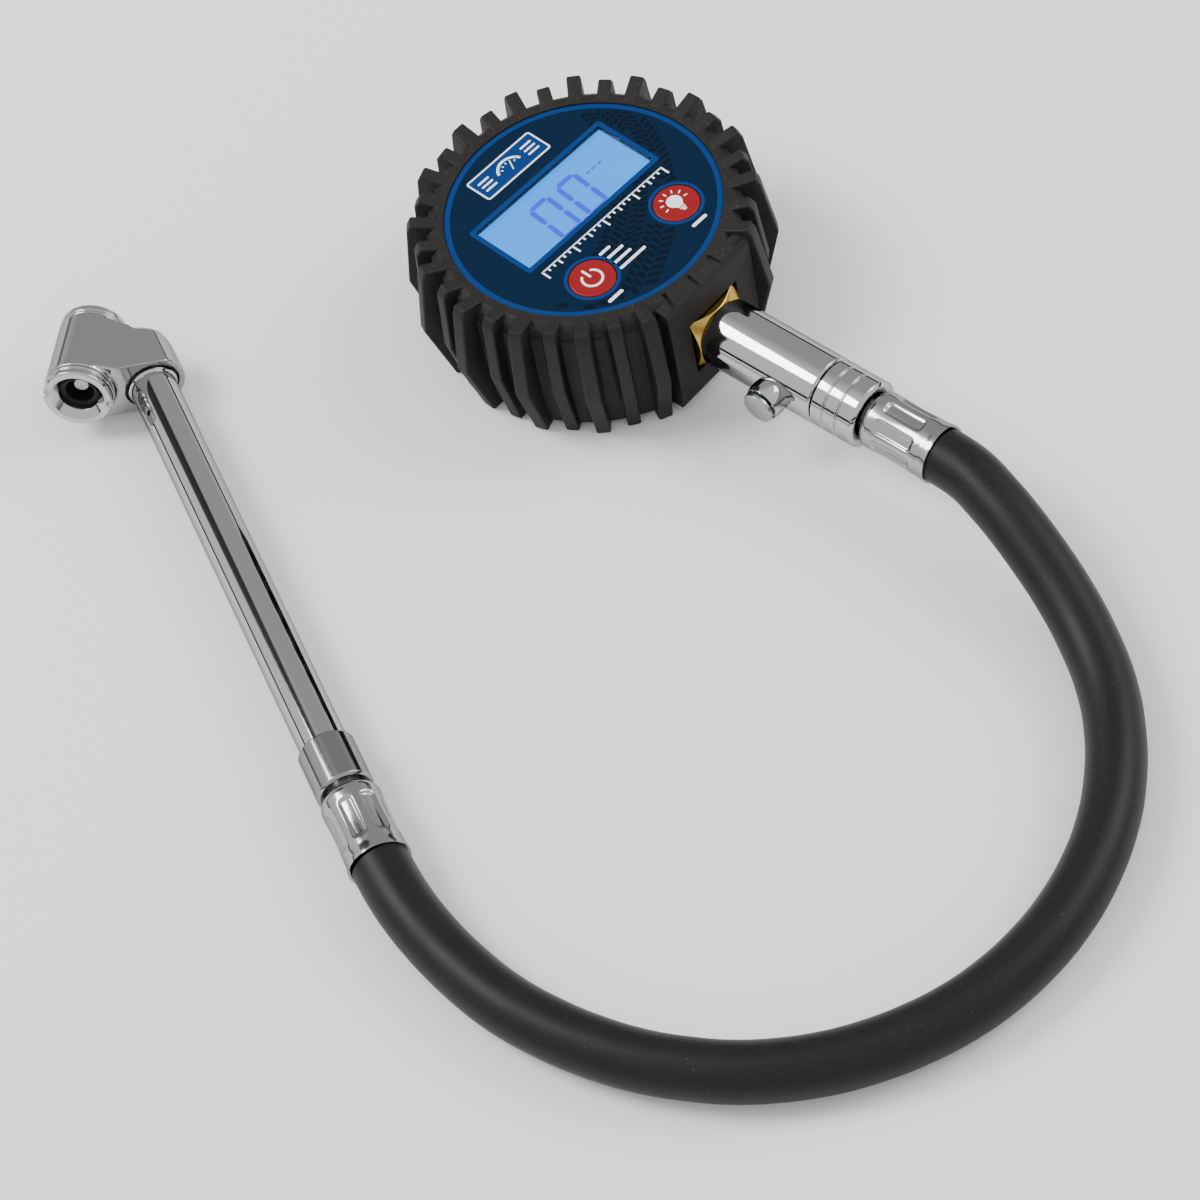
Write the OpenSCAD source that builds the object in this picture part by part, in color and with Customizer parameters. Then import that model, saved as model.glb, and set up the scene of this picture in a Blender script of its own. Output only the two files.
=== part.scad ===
// Hand-held digital tyre pressure gauge with a hose and a twin push-on chuck.
// The gauge lies on its back on z = 0, its dial faces +Z and its stem points along -Y.
// The origin is the centre of the gauge's back. Sizes are in millimetres, angles in degrees.

/* [Case] */
// Diameter of the round plastic case
case_d = 60; // [60:1:76]
// Wall of the rear case
case_wall = 2; // [1.6:0.2:2.4]
// Height at which the rear case meets the bezel
case_split_z = 26; // [25.6:0.2:27.2]
// Thickness of the case back
back_t = 3; // [2.8:0.2:3.4]
// Top of the bezel, under the printed label
bezel_top_z = 31.1; // [31:0.1:32.4]
// Thickness of the bezel's top plate
bezel_t = 2.1; // [1.8:0.1:2.2]
// Height of the stem's axis above the back
stem_z = 16; // [15:0.5:16.5]

/* [Dial] */
// Thickness of the printed label
label_t = 0.4; // [0.3:0.1:0.6]
// Turn of the dial about the case axis
dial_turn = -2.75; // [-6:0.25:6]
// Width of the display window
window_w = 37.4; // [32:0.2:40]
// Height of the display window
window_h = 15.9; // [12:0.1:17]
// Distance of the window's centre above the dial's centre
window_y = 5.5; // [4:0.5:6.5]
// Diameter of the two push buttons
button_d = 10; // [8:0.5:12]
// Distance between the two buttons
button_pitch = 25.5; // [24:0.5:28]
// Distance of the buttons below the dial's centre
button_drop = 14.9; // [14.5:0.1:16]
// Travel of a push button
button_travel = 0.4; // [0.2:0.1:0.4]

/* [Rubber boot] */
// Wall of the boot at its rim
boot_wall = 4; // [3:0.2:5]
// Height of the boot's rim above the label
boot_lip = 0.5; // [0.3:0.1:1]
// Angle from the stem to the first lug on the right
lug_first = 23.5; // [22:0.5:28]
// Angle from the stem to the first lug on the left
lug_last = 27; // [22:0.5:28]
// Number of large lugs
lug_count = 15; // [11:1:17]
// Width of a large lug
lug_w = 3.1; // [2.4:0.1:3.6]
// Width of a small lug
small_lug_w = 2.9; // [2:0.1:3.2]
// Width of the flat pad around the stem
pad_w = 26; // [22:1:27]

/* [Stem] */
// Side of the square brass block
block_w = 14; // [13:0.5:15]
// Distance that the block stands out of the boot
block_proud = 1.7; // [1:0.1:3]
// Diameter of the chrome valve body
valve_d = 15; // [14:0.5:18]
// Length of the valve body
valve_len = 28.4; // [26:0.2:36]
// Length of the ringed swivel collar
swivel_len = 11; // [10:0.5:14]
// Distance from the valve body's rear end to the bleed button
bleed_at = 18.8; // [14:0.2:19.4]
// Travel of the bleed button
bleed_travel = 1.4; // [0.8:0.1:1.4]

/* [Hose] */
// Outside diameter of the hose
hose_d = 12; // [10:0.5:15]
// Bore of the hose
hose_bore_d = 6.6; // [6:0.2:7]
// Length of a crimped ferrule
ferrule_len = 17; // [14:0.5:21]
// Wall of a ferrule
ferrule_wall = 0.7; // [0.6:0.1:1]
// Neck that shows between a ferrule and its collar
neck_gap = 0.5; // [0.4:0.1:2]

/* [Chuck] */
// Outside diameter of the chuck's tube
tube_d = 10; // [8.6:0.2:12]
// Wall of the tube
tube_wall = 1.4; // [1:0.1:1.6]
// Length of the tube that shows
tube_len = 106; // [60:1:200]
// Length of the collar between tube and ferrule
chuck_collar_len = 11.5; // [10:0.5:14]
// Turn of the chuck about the vertical
chuck_yaw = 64.2; // [55:0.1:75]
// Roll of the head about the tube
chuck_roll = 18.6; // [0:0.1:30]
// Diameter of the head's barrel
barrel_d = 15.2; // [15.2:0.2:19]
// Length of the head's barrel between its two inserts
barrel_len = 16.6; // [16.6:0.2:22]
// Angle between the barrel and the tube
barrel_angle = 28.2; // [20:0.1:40]
// Distance of the barrel's axis from the tube's axis
barrel_side = 11.6; // [11.4:0.1:13]
// Distance of the barrel's middle behind the head's front face
barrel_back = 9.6; // [9:0.1:11]
// Diameter of the mouth that takes a tyre valve
port_d = 8.6; // [8.4:0.1:9]
// Travel of a depressor pin
pin_travel = 1.8; // [1:0.1:1.8]

/* [Hidden] */

round_fn = 96;      // facets that are drawn on large round shapes
small_fn = 48;      // facets that are drawn on small round shapes
fit = 0.1;          // clearance of parts that are fixed together loosely
run_fit = 0.08;     // radial clearance of parts that turn or slide
cut = 1;            // overrun of a cutting shape past the face that it cuts

// Case and dial
case_r = case_d / 2;
cavity_r = case_r - case_wall;
seat_r = case_r - 4.3;                  // raised round seat on the case's back
seat_z = 1.6;                           // height of the seat
register_t = 0.9;                       // lip that centres the bezel on the rear case
register_h = 1.2;
label_r = case_r - 0.55;
face_z = bezel_top_z + label_t;
plate_z = bezel_top_z - bezel_t;
window_lip = 0.7;                       // edge of the bezel that holds the lens
window_margin = 1;                      // lens and display beyond the window, each side
lens_t = 0.5;
lcd_t = 1.7;
lens_z = bezel_top_z - window_lip - lens_t;
lcd_z = lens_z - lcd_t;
board_t = 1.6;
board_z = 22;
board_top = board_z + board_t;
board_r = cavity_r - 1;
board_notch_y = 18.5;
switch_w = 6;
switch_h = 3;
plunger_d = 3;
plunger_h = 0.5;
button_x = button_pitch / 2;
button_r = button_d / 2;
button_gap = 0.15;
button_proud = 0.25;
button_flange = 0.8;                    // width and thickness of a button's flange
button_stem_r = 1.3;
button_rest_gap = button_travel + 0.1;

// Screws
post_x = 11.5;
post_y = 19.6;
post_r = 2.7;
screw_r = 1.25;
screw_head_r = 2.4;
screw_head_h = 1.6;
screw_sink = 0.6;
stem_screw_x = 4.2;                     // screws that hold the stem block, and the height of their tips
stem_screw_top = 15;

// Batteries: two AAA cells side by side along X
cell_r = 5.25;
cell_len = 44.5;
cell_tip_r = 1.9;
cell_tip_len = 1;
cell_z = back_t + 0.5 + cell_r;
cells_y = 1;
cell_gap = 0.5;
contact_t = 0.4;
cover_w = 48;
cover_h = 23.5;
cover_t = 1.6;
cover_ledge = 1.6;
cover_tab_y = -13;
cover_tab_r = 3.2;
cover_screw_len = 6;

// Boot
boot_r = case_r + boot_wall;
boot_cavity_r = case_r + 0.1;
rim_z = face_z + boot_lip;
lug_top_z = rim_z + 1.5;
small_lug_top_z = rim_z + 1.2;
crease_z = rim_z * 0.51;                // widest level of the lugs and of the boot
boot_base = 1.5;                        // thickness of the boot under the case's edge
pad_y = boot_r + 0.3;
lug_pitch = (360 - lug_first - lug_last) / (lug_count - 1);

// Stem: distances along -Y from the case axis
block_end = pad_y + block_proud;
block_start = case_r - 10;
nose_r = 5;
nose_len = 8;
valve_start = block_end + 0.2;
valve_r = valve_d / 2;
valve_end = valve_start + valve_len;
valve_nose_r = valve_r - 1.3;
valve_nose_len = 5.2;
air_r = 2;
swivel_start = valve_end + 0.2;
swivel_end = swivel_start + swivel_len;
tail_flange_t = 2.2;
tail_neck_r = 4;
tail_spigot_r = 2.6;
ferrule_start = swivel_end + neck_gap;
hose_start = ferrule_start + ferrule_len;

// Bleed valve: distances along -X from the stem's axis
bleed_y = valve_start + bleed_at;
bleed_bore_r = 3;
bleed_bore_end = -4;
bleed_seat = 3.4;
bleed_spot = valve_r - 1.1;
bleed_bulb_r = 4.15;
bleed_face = valve_r + 2.1;
bleed_cap_r = 3.6;
bleed_cap_t = 1;
bleed_pin_r = 1.2;
bleed_poppet_r = 2.2;
bleed_cap_at = bleed_face + bleed_travel + 0.1;
bleed_bell = bleed_cap_at - 0.4;        // front of the bell into which the cap sinks
spring_wall = 0.6;

// Hose: centre line after the ferrule, as x, y and height above the lying hose
hose_r = hose_d / 2;
hose_lie = hose_r;
hose_tail_r = hose_bore_d / 2;
hose_sides = 12;
hose_route = [
    [-0.5, -101, 9.7], [-2, -107.5, 8.8], [-4, -114.5, 7.5], [-6.5, -122, 5.6], [-10, -131, 3.2],
    [-15, -140.5, 1.2], [-21, -149, 0.2], [-28.5, -156.5, 0], [-37, -162.8, 0], [-46.5, -167.8, 0],
    [-57, -171.3, 0], [-67, -173, 0], [-77, -173.2, 0], [-86.5, -172, 0], [-95, -169.7, 0],
    [-103, -166.3, 0], [-110.5, -162, 0], [-117.5, -156.8, 0], [-123.5, -151, 0],
    [-129, -144.3, 0], [-133.5, -137, 0], [-137.5, -128.8, 0], [-140.5, -119.8, 0],
    [-142.5, -110.5, 0], [-143.5, -100.5, 0], [-143, -90, 0], [-141.3, -79, 0.3],
    [-138.7, -69.2, 1]
];

// Chuck: distances along its tube from the end of the hose; its head rests on z = 0
tube_r = tube_d / 2;
lobe_r = tube_r + 2.4;
hose_end = [-135.4, -60.8, max(lobe_r, hose_r + 0.5)];
ferrule_r = hose_r + 0.3;
ferrule_bore_r = ferrule_r - ferrule_wall;
ferrule_lip_r = hose_r + 0.5;
chuck_neck_gap = neck_gap + 1;
collar_start = ferrule_len + chuck_neck_gap;
collar_end = collar_start + chuck_collar_len;
collar_r = max(tube_d / 2, hose_tail_r + 1.2) + 1;
tube_start = collar_end - 6;
head_face = collar_end + tube_len;
socket_depth = 8;
socket_ring_r = tube_r + 1;
socket_ring_t = 1.2;
lobe_flat = lobe_r - 0.4;
lobe_nose_r = 9;
lobe_straight = 3.4;
barrel_r = barrel_d / 2;
chamber_r = 5;
insert_r = barrel_r - 0.15;
insert_flange = 2.7;
insert_spigot = 4.2;
insert_spigot_r = barrel_r - 1.3;
insert_edge = 0.4;
port_r = port_d / 2;
mouth_r = port_r + 1.57;
mouth_depth = 1.4;
seal_top = 0.1;
seal_r = port_r + 0.9;
seal_bore_r = 3.1;
slot_r = 0.7;
pin_r = 1.5;
pin_tip = 4.5;
pin_disc_r = chamber_r - 0.4;
pin_disc_t = 1.5;
spring_len = barrel_len - 2 * (insert_spigot + pin_disc_t + pin_travel) - 0.2;
spring_r = 3.2;

// ---- Placing ----

module on_dial() { rotate([0, 0, dial_turn]) children(); }

module on_stem(at) { translate([0, -at, stem_z]) rotate([90, 0, 0]) children(); }

module on_bleed() { translate([0, -bleed_y, stem_z]) rotate([0, -90, 0]) children(); }

module on_tube(at) {
    translate(hose_end) rotate([0, 0, chuck_yaw]) translate([at, 0, 0]) rotate([0, 90, 0]) children();
}

module on_head() {
    translate(hose_end) rotate([chuck_roll, 0, chuck_yaw]) translate([head_face, 0, 0]) children();
}

module on_barrel() {
    on_head() translate([barrel_back, barrel_side, 0]) rotate([0, 0, -barrel_angle]) rotate([0, -90, 0])
        children();
}

module on_port(side) { on_barrel() mirror([0, 0, side < 0 ? 1 : 0]) translate([0, 0, barrel_len / 2]) children(); }

module at_buttons() {
    for (side = [-1, 1]) on_dial() translate([side * button_x, -button_drop, 0]) children();
}

module at_posts(rows = [1]) {
    for (sx = [-1, 1], sy = rows) translate([sx * post_x, sy * post_y, 0]) children();
}

module at_stem_screws() {
    for (side = [-1, 1]) translate([side * stem_screw_x, -block_start - 2.2, 0]) children();
}

module slab(w, h, z0, z1) { translate([-w / 2, -h / 2, z0]) cube([w, h, z1 - z0]); }

module ring(outer, inner, z0, z1) {
    difference() {
        translate([0, 0, z0]) cylinder(r = outer, h = z1 - z0, $fn = round_fn);
        translate([0, 0, z0 - cut]) cylinder(r = inner, h = z1 - z0 + 2 * cut, $fn = round_fn);
    }
}

module rod(radius, z0, z1) { translate([0, 0, z0]) cylinder(r = radius, h = z1 - z0, $fn = small_fn); }

module o_ring(mid_r, wire_r, z) {
    translate([0, 0, z]) rotate_extrude($fn = small_fn) translate([mid_r, 0]) circle(r = wire_r, $fn = small_fn);
}

// ---- Boot ----

function lug_profile(tip, shoulder, belly, foot, top_z) = [
    [case_r + 1.5, rim_z - 0.1], [tip, top_z], [shoulder, top_z - 1.9], [belly, crease_z],
    [foot, 0], [case_r + 2, 0], [case_r + 2, crease_z], [case_r + 1.5, rim_z - 2]
];

module lug(profile, width) {
    rotate([90, 0, 0]) linear_extrude(height = width, center = true) polygon(profile);
}

module rubber_boot() color("#282626") {
    big = lug_profile(boot_r + 2.4, boot_r + 3.4, boot_r + 5.6, boot_r + 1.2, lug_top_z);
    small = lug_profile(boot_r + 1, boot_r + 2.3, boot_r + 3.5, boot_r + 0.4, small_lug_top_z);
    difference() {
        union() {
            rotate_extrude($fn = round_fn) polygon([
                [seat_r + 0.3, 0], [case_r + 1, 0], [boot_r - 0.7, boot_base], [boot_r + 0.3, crease_z],
                [boot_r, rim_z - 1], [boot_r - 0.8, rim_z - 0.4], [case_r + 0.6, rim_z],
                [label_r + 0.05, rim_z], [label_r + 0.05, bezel_top_z + 0.1],
                [boot_cavity_r, bezel_top_z + 0.1], [boot_cavity_r, boot_base], [seat_r + 0.3, boot_base]
            ]);
            for (i = [0 : lug_count - 1])
                rotate([0, 0, -90 + lug_first + i * lug_pitch]) lug(big, lug_w);
            for (i = [0 : lug_count - 2])
                rotate([0, 0, -90 + lug_first + (i + 0.5) * lug_pitch]) lug(small, small_lug_w);
            translate([-pad_w / 2, -pad_y, 2]) cube([pad_w, pad_y - case_r - 1, rim_z - 4]);
        }
        translate([-block_w / 2 - 0.5, -pad_y - cut, stem_z - block_w / 2 - 0.5])
            cube([block_w + 1, boot_wall + 3 * cut, block_w + 1]);
    }
}

// ---- Case ----

module cover_shape(grow, z0, z1) intersection() {
    translate([0, 0, z0]) cylinder(r = seat_r - 0.9 + grow, h = z1 - z0, $fn = round_fn);
    union() {
        translate([0, cells_y, 0]) slab(cover_w + 2 * grow, cover_h + 2 * grow, z0, z1);
        translate([0, cover_tab_y, 0]) rod(cover_tab_r + grow, z0, z1);
    }
}

module rear_case() color("#1d1d1f") difference() {
    union() {
        rod_seat();
        difference() {
            translate([0, 0, seat_z]) cylinder(r = case_r, h = case_split_z - seat_z, $fn = round_fn);
            translate([0, 0, back_t]) cylinder(r = cavity_r, h = case_split_z, $fn = round_fn);
        }
        ring(cavity_r + register_t, cavity_r, case_split_z - cut, case_split_z + register_h);
        at_posts([-1, 1]) rod(post_r, back_t - 0.2, board_z);
        translate([0, cover_tab_y, 0]) rod(2.4, back_t - 0.2, back_t + 5);
        translate([-block_w / 2, -case_r + case_wall - 0.2, back_t - 0.2])
            cube([block_w, 8, stem_z - block_w / 2 - back_t + 0.2]);
    }
    cover_shape(0.2, -cut, cover_t + 0.1);
    translate([0, cells_y, 0]) slab(cover_w - 2 * cover_ledge, cover_h - 2 * cover_ledge, cover_t, back_t + cut);
    translate([0, cover_tab_y, 0]) rod(screw_r, 0, back_t + 4);
    at_posts() rod(screw_r + 0.1, 0, board_z + cut);
    at_stem_screws() rod(screw_r + 0.1, 0, stem_screw_top);
    at_posts() rod(screw_head_r + 0.2, -cut, screw_sink + screw_head_h);
    at_stem_screws() rod(screw_head_r + 0.2, -cut, screw_sink + screw_head_h);
    translate([-block_w / 2 - 0.05, -case_r - cut, stem_z - block_w / 2])
        cube([block_w + 0.1, case_wall + 2 * cut, block_w + 0.05]);
}

module rod_seat() { cylinder(r = seat_r, h = back_t, $fn = round_fn); }

module battery_cover() color("#1d1d1f") difference() {
    cover_shape(0, 0, cover_t);
    translate([0, cover_tab_y, 0]) rod(screw_r + 0.1, -cut, cover_t + cut);
    translate([0, cover_tab_y, 0]) rod(screw_head_r + 0.1, -cut, 0.9);
}

module cross_screw(head_z, length) {
    difference() {
        rod(screw_head_r, head_z, head_z + screw_head_h);
        translate([0, 0, head_z]) slab(0.7, 2.6, -cut, 0.9);
        translate([0, 0, head_z]) slab(2.6, 0.7, -cut, 0.9);
    }
    rod(screw_r, head_z + screw_head_h, head_z + screw_head_h + length);
}

module battery_cover_screw() color("silver") translate([0, cover_tab_y, 0]) difference() {
    union() {
        rod(screw_head_r, 0.1, 0.9);
        rod(screw_r, 0.9, cover_screw_len);
    }
    slab(0.7, 2.6, 0, 0.5);
    slab(2.6, 0.7, 0, 0.5);
}

module case_screws() color("silver") {
    at_posts() cross_screw(screw_sink, plate_z - screw_sink - screw_head_h - 1.5);
    at_stem_screws() cross_screw(screw_sink, stem_screw_top - screw_sink - screw_head_h);
}

module batteries() color("#c8a24a") translate([0, cells_y, cell_z])
    for (side = [-1, 1]) translate([0, side * (cell_r + cell_gap / 2), 0]) mirror([side < 0 ? 1 : 0, 0, 0])
        rotate([0, 90, 0]) {
            rod(cell_r, -cell_len / 2, cell_len / 2 - cell_tip_len);
            rod(cell_tip_r, cell_len / 2 - cell_tip_len, cell_len / 2);
        }

module battery_contacts() color("silver") translate([0, cells_y, cell_z]) {
    span = 2 * cell_r + cell_gap;
    translate([-cell_len / 2 - contact_t, -span / 2 - 3, -4]) cube([contact_t, span + 6, 8]);
    for (side = [-1, 1]) translate([cell_len / 2, side * (cell_r + cell_gap / 2) - 4, -4])
        cube([contact_t, 8, 8]);
}

module circuit_board() color("#1f6b3a") difference() {
    rod(board_r, board_z, board_top);
    translate([-block_w / 2 - 1, -board_r - cut, board_z - cut])
        cube([block_w + 2, board_r + cut - board_notch_y, board_t + 2 * cut]);
    at_posts() rod(screw_r + 0.1, board_z - cut, board_top + cut);
}

module tact_switches() color("#303030") at_buttons() {
    slab(switch_w, switch_w, board_top, board_top + switch_h);
    rod(plunger_d / 2, board_top + switch_h, board_top + switch_h + plunger_h);
}

module display_slab(z0, z1, margin) {
    on_dial() translate([0, window_y, 0]) slab(window_w + 2 * margin, window_h + 2 * margin, z0, z1);
}

module backlight() color("white") display_slab(board_top, lcd_z, window_margin - 0.1);

module lcd_panel() color("#64b4ff") display_slab(lcd_z, lens_z, window_margin - 0.1);

module window_lens() color("#b4d2ff") display_slab(lens_z, lens_z + lens_t, window_margin - 0.1);

module front_bezel() color("#1d1d1f") difference() {
    union() {
        ring(case_r, cavity_r, case_split_z, bezel_top_z);
        rod_plate();
        at_posts() rod(post_r, board_top, plate_z + 0.2);
    }
    ring(cavity_r + register_t + fit, cavity_r - cut, case_split_z - cut, case_split_z + register_h + fit);
    display_slab(plate_z - cut, bezel_top_z - window_lip, window_margin);
    display_slab(plate_z - cut, bezel_top_z + cut, 0);
    at_buttons() rod(button_r + button_gap, plate_z - cut, bezel_top_z + cut);
    at_posts() rod(screw_r, board_top - cut, plate_z - 0.5);
}

module rod_plate() { translate([0, 0, plate_z]) cylinder(r = case_r, h = bezel_t, $fn = round_fn); }

module dial_label() color("#0b2e49") difference() {
    translate([0, 0, bezel_top_z]) cylinder(r = label_r, h = label_t, $fn = round_fn);
    display_slab(bezel_top_z - cut, face_z + cut, 0);
    at_buttons() rod(button_r + button_gap, bezel_top_z - cut, face_z + cut);
}

module push_button(side) on_dial() translate([side * button_x, -button_drop, 0]) {
    rod(button_r, plate_z - 0.1, face_z + button_proud);
    rod(button_r + button_flange, plate_z - 0.1 - button_flange, plate_z - 0.1);
    rod(button_stem_r, board_top + switch_h + plunger_h + button_rest_gap, plate_z - 0.1 - button_flange);
}

module unit_button() color("#b02224") push_button(-1);

module light_button() color("#b02224") push_button(1);

// ---- Stem ----

module pressure_sensor() color("silver") on_stem(0) {
    difference() {
        translate([-6, -6, block_start - 10]) cube([12, 11.5, 10]);
        rod(1, block_start - 4, block_start + cut);
    }
}

module stem_block() color("#b49646") difference() {
    union() {
        intersection() {
            on_stem(0) slab(block_w, block_w, block_start, block_end);
            on_stem(block_end) translate([0, 0, -block_end]) cylinder(
                r1 = block_w / 2 - 0.3 + block_end / tan(50),
                r2 = block_w / 2 - 0.3,
                h = block_end, $fn = round_fn
            );
        }
        on_stem(0) rod(nose_r, block_end - cut, block_end + nose_len);
    }
    on_stem(0) rod(air_r, block_start - cut, block_end + nose_len + cut);
    at_stem_screws() rod(screw_r, 0, stem_screw_top + 0.3);
}

module stem_seal() color("#202020") on_stem(0) o_ring(air_r + 1.6, 0.55, block_end + nose_len + 0.55);

module valve_body() color("#c8c8cc") difference() {
    on_stem(valve_start) union() {
        rotate_extrude($fn = round_fn) polygon([
            [0, 0], [valve_r - 0.8, 0], [valve_r - 0.2, 0.3], [valve_r, 1], [valve_r, valve_len - 0.4],
            [valve_r - 0.4, valve_len], [0, valve_len]
        ]);
        rod(valve_nose_r, valve_len - cut, valve_len + valve_nose_len);
    }
    on_stem(0) rod(nose_r, valve_start - cut, block_end + nose_len + 1.1);
    on_stem(0) rod(air_r, block_end, valve_end + valve_nose_len + cut);
    on_stem(0) rod(tail_neck_r, valve_end + 1, valve_end + valve_nose_len + cut);
    on_bleed() rod(bleed_bore_r, bleed_bore_end, valve_r + cut);
    on_bleed() rod(bleed_bulb_r, bleed_spot, valve_r + cut);
}

module bleed_boss() color("#c8c8cc") on_bleed() difference() {
    rotate_extrude($fn = small_fn) polygon([
        [0, bleed_seat], [bleed_bore_r, bleed_seat], [bleed_bore_r, bleed_spot],
        [bleed_bulb_r, bleed_spot], [bleed_bulb_r, bleed_face - 0.6], [bleed_cap_r + 0.35, bleed_bell],
        [bleed_cap_r + 0.1, bleed_bell], [bleed_cap_r + 0.1, bleed_face], [0, bleed_face]
    ]);
    rod(bleed_pin_r + 0.3, bleed_seat - cut, bleed_face + cut);
}

module bleed_button() color("#c8c8cc") on_bleed() {
    rod(bleed_cap_r, bleed_cap_at, bleed_cap_at + bleed_cap_t);
    rod(bleed_pin_r, 2.6, bleed_cap_at);
    rod(bleed_poppet_r, 1.4, 2.6);
}

module bleed_seal() color("#202020") on_bleed() ring(bleed_poppet_r, bleed_pin_r, 2.6, bleed_seat - 0.05);

module bleed_spring() color("silver") on_bleed()
    ring(bleed_poppet_r, bleed_poppet_r - spring_wall, bleed_bore_end, 1.4 - bleed_travel - 0.2);

module swivel_collar() color("#c8c8cc") on_stem(swivel_start) difference() {
    groove = 0.35;
    rotate_extrude($fn = round_fn) polygon([
        [0, 0], [valve_r - 0.5, 0], [valve_r, 0.4], [valve_r, 2.9], [valve_r - groove, 3.2],
        [valve_r, 3.5], [valve_r, 6.3], [valve_r - groove, 6.6], [valve_r, 6.9],
        [valve_r, swivel_len - 0.6], [valve_r - 0.6, swivel_len], [0, swivel_len]
    ]);
    rod(valve_nose_r, -cut, valve_nose_len + tail_flange_t + 0.2);
    rod(tail_neck_r + run_fit, cut, swivel_len + cut);
}

module swivel_seal() color("#202020") on_stem(valve_end) o_ring((tail_neck_r + tail_spigot_r) / 2 + 0.05, 0.62, 2.4);

// ---- Hose ----

module barb(length) {
    rotate_extrude($fn = small_fn) polygon(concat(
        [[0, 0], [tail_neck_r, 0], [tail_neck_r, 1], [hose_tail_r - 0.4, 1]],
        [for (i = [0 : 3], p = [[-0.4, 1.5], [0, 1.6], [-0.4, 4]]) [hose_tail_r + p[0], p[1] + i * 2.6]],
        [[hose_tail_r - 0.9, length], [0, length]]
    ));
}

module gauge_hose_tail() color("#c8c8cc") on_stem(ferrule_start) difference() {
    flange_at = swivel_start + valve_nose_len + 0.1 - ferrule_start;
    union() {
        barb(ferrule_len - 2);
        rod(tail_neck_r, flange_at + 0.5, 0.5);
        rod(valve_nose_r - run_fit, flange_at, flange_at + tail_flange_t - 0.1);
        rod(tail_spigot_r, flange_at - 3.8, flange_at + 0.5);
    }
    rod(1.4, flange_at - 5, ferrule_len);
}

module chuck_hose_tail() color("#c8c8cc") on_tube(ferrule_len) mirror([0, 0, 1]) difference() {
    union() {
        barb(ferrule_len - 2);
        rod(hose_tail_r + 0.4, -chuck_neck_gap - 5, 0.5);
    }
    rod(1.4, -chuck_neck_gap - 6, ferrule_len);
}

module ferrule() {
    difference() {
        rotate_extrude($fn = small_fn) polygon([
            [0, 0], [ferrule_r - 1.2, 0], [ferrule_r - 0.3, 0.4], [ferrule_r, 1.2],
            [ferrule_r, ferrule_len - 2], [ferrule_lip_r, ferrule_len - 0.6],
            [ferrule_lip_r, ferrule_len], [0, ferrule_len]
        ]);
        rod(tail_neck_r, -cut, 1);
        rod(ferrule_bore_r, 1, ferrule_len + cut);
    }
}

module gauge_ferrule() color("#b8b8bc") on_stem(ferrule_start) ferrule();

module chuck_ferrule() color("#b8b8bc") on_tube(ferrule_len) mirror([0, 0, 1]) ferrule();

// Frames of rings along the hose: each ring lies across the line between its neighbours.
function unit(v) = v / norm(v);

function route_points() = concat(
    [[0, -hose_start, stem_z]],
    [for (p = hose_route) [p[0], p[1], hose_lie + p[2]]],
    [hose_end]
);

function route_way(points, i) =
    i == 0 ? [0, -1, 0]
    : i == len(points) - 1 ? [cos(chuck_yaw), sin(chuck_yaw), 0]
    : unit(points[i + 1] - points[i - 1]);

function ring_points(centre, way, radius) =
    let (side = unit(cross(way, [0, 0, 1])), up = cross(side, way))
    [for (k = [0 : hose_sides - 1])
        let (a = 360 * k / hose_sides) centre + radius * (cos(a) * side + sin(a) * up)];

module swept_hose() {
    points = route_points();
    rings = [for (i = [0 : len(points) - 1]) each ring_points(points[i], route_way(points, i), hose_r)];
    last = (len(points) - 1) * hose_sides;
    polyhedron(points = rings, faces = concat(
        [[for (k = [hose_sides - 1 : -1 : 0]) k]],
        [for (i = [0 : len(points) - 2], k = [0 : hose_sides - 1])
            let (a = i * hose_sides + k, b = i * hose_sides + (k + 1) % hose_sides)
            [a, b, b + hose_sides, a + hose_sides]],
        [[for (k = [0 : hose_sides - 1]) last + k]]
    ));
}

module hose_end_ring() {
    ring(ferrule_bore_r, hose_tail_r, 1, ferrule_len);
}

module hose() color("#262626") {
    swept_hose();
    on_stem(ferrule_start) hose_end_ring();
    on_tube(ferrule_len) mirror([0, 0, 1]) hose_end_ring();
}

// ---- Chuck ----

module chuck_collar() color("#c8c8cc") on_tube(collar_start) difference() {
    rotate_extrude($fn = small_fn) polygon([
        [0, 0], [collar_r - 0.5, 0], [collar_r, 0.5], [collar_r, chuck_collar_len - 0.3],
        [collar_r - 0.3, chuck_collar_len], [0, chuck_collar_len]
    ]);
    rod(hose_tail_r + 0.4, -cut, 5);
    rod(1.4, 0, chuck_collar_len);
    rod(tube_r, chuck_collar_len - 6, chuck_collar_len + cut);
}

module chuck_tube() color("#c8c8cc") on_tube(0) difference() {
    union() {
        rod(tube_r, tube_start, head_face + socket_depth);
        rod(socket_ring_r - 0.4, head_face - 0.6, head_face + socket_ring_t);
    }
    rod(tube_r - tube_wall, tube_start - cut, head_face + socket_depth + cut);
}

module lobe_outline() {
    nose = [lobe_straight, lobe_nose_r - lobe_r];
    along = (barrel_len / 2 - 0.4) * [cos(barrel_angle), -sin(barrel_angle)];
    polygon(concat(
        [[0, -lobe_r]],
        [for (a = [-90 : 10 : 0]) nose + lobe_nose_r * [cos(a), sin(a)]],
        [[barrel_back, barrel_side] + along, [barrel_back, barrel_side] - along, [0, barrel_side - 2.4]]
    ));
}

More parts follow.
